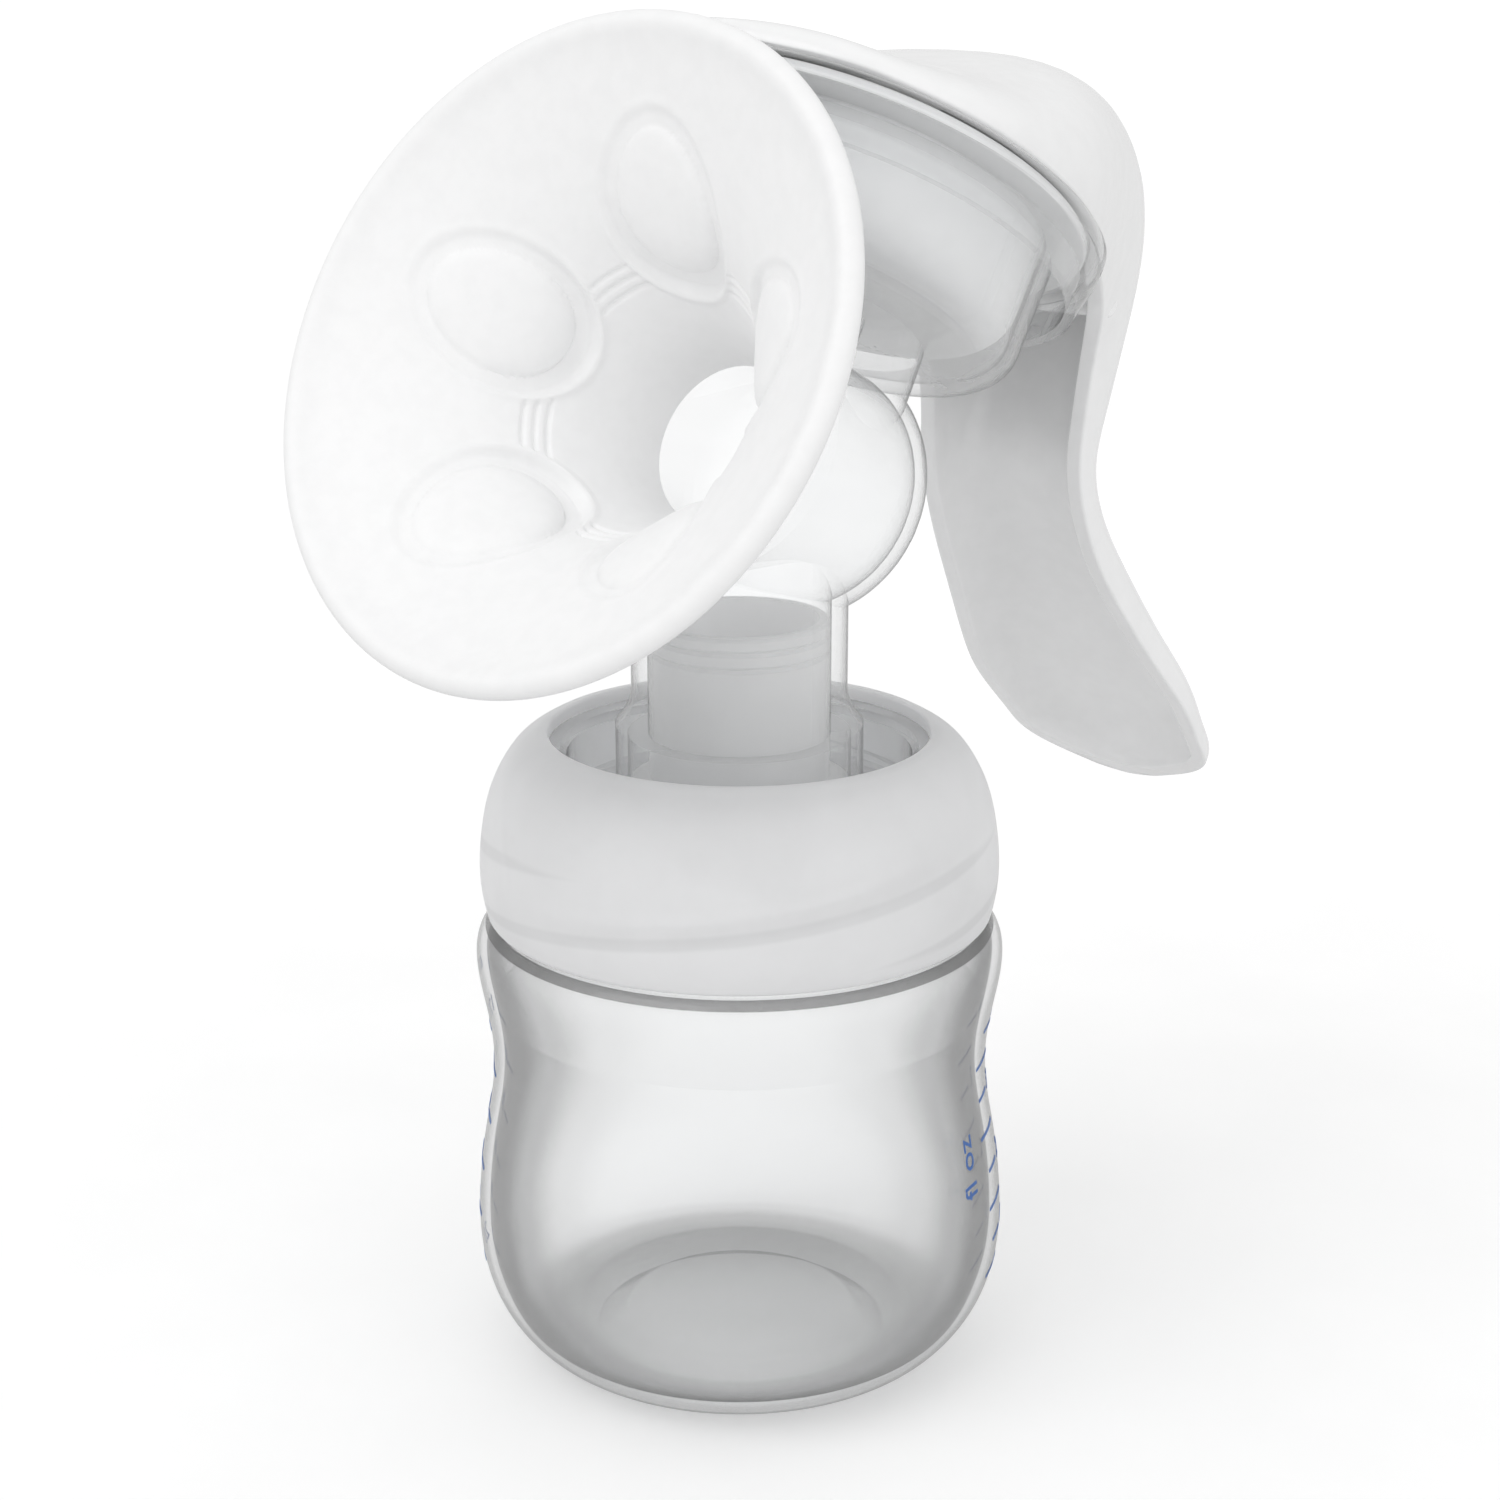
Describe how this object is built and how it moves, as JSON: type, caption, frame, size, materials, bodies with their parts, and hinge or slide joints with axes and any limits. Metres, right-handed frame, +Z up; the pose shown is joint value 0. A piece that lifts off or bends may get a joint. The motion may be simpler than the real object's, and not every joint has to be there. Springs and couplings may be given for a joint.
{
  "type": "manual breast pump",
  "caption": "Hand-squeezed breast pump on its bottle: clear body with soft petal funnel, diaphragm cup, white lever handle and a frosted screw collar.",
  "frame": {"origin": "centre of the bottle's foot ring, on the surface that the pump stands on", "axes": "+Z up along the bottle, the funnel faces -Y, the handle is on the +Y side, X is the pivot direction"},
  "size_m": [0.0788, 0.1441, 0.1663],
  "materials": {
    "clear_bottle": "clear, polished",
    "frosted_collar": "milky, satin",
    "clear_body": "clear, polished",
    "valve_silicone": "milky soft silicone",
    "cushion_silicone": "milky velvety silicone",
    "diaphragm_silicone": "milky soft silicone",
    "white_stem": "white, satin",
    "white_handle": "white, smooth satin"
  },
  "bodies": {
    "bottle": {"bottle": "clear_bottle"},
    "pump": {"pump_body": "clear_body", "diaphragm": "diaphragm_silicone"},
    "collar": {"screw_collar": "frosted_collar"},
    "valve": {"white_valve": "valve_silicone"},
    "cushion": {"massage_cushion": "cushion_silicone"},
    "stem": {"stem": "white_stem"},
    "handle": {"handle": "white_handle"}
  },
  "joints": [
    {"name": "pump_lift", "type": "slide", "parent": "bottle", "child": "pump", "axis": [0, 0, 1], "range_m": [0, 0.012]},
    {"name": "collar_unscrew", "type": "hinge", "parent": "pump", "child": "collar", "pos_m": [0, 0, 0.07], "axis": [0, 0, 1], "range_deg": [0, 180]},
    {"name": "handle_squeeze", "type": "hinge", "parent": "pump", "child": "handle", "pos_m": [0, 0.054, 0.1285], "axis": [-1, 0, 0], "range_deg": [0, 15], "stiffness_Nm_per_rad": 1},
    {"name": "stem_lift", "type": "slide", "parent": "pump", "child": "stem", "axis": [0, 0.5299, 0.848], "range_m": [0, 0.0102], "deforming": ["diaphragm"]},
    {"name": "cushion_pull", "type": "slide", "parent": "pump", "child": "cushion", "axis": [0, -0.891, 0.454], "range_m": [0, 0.045]},
    {"name": "valve_pull", "type": "slide", "parent": "pump", "child": "valve", "axis": [0, 0, -1], "range_m": [0, 0.03]}
  ],
  "couplings": [
    {"joint": "collar_unscrew", "follows": "pump_lift", "rad_per_m": 261.79},
    {"joint": "stem_lift", "follows": "handle_squeeze", "m_per_rad": 0.0382}
  ]
}
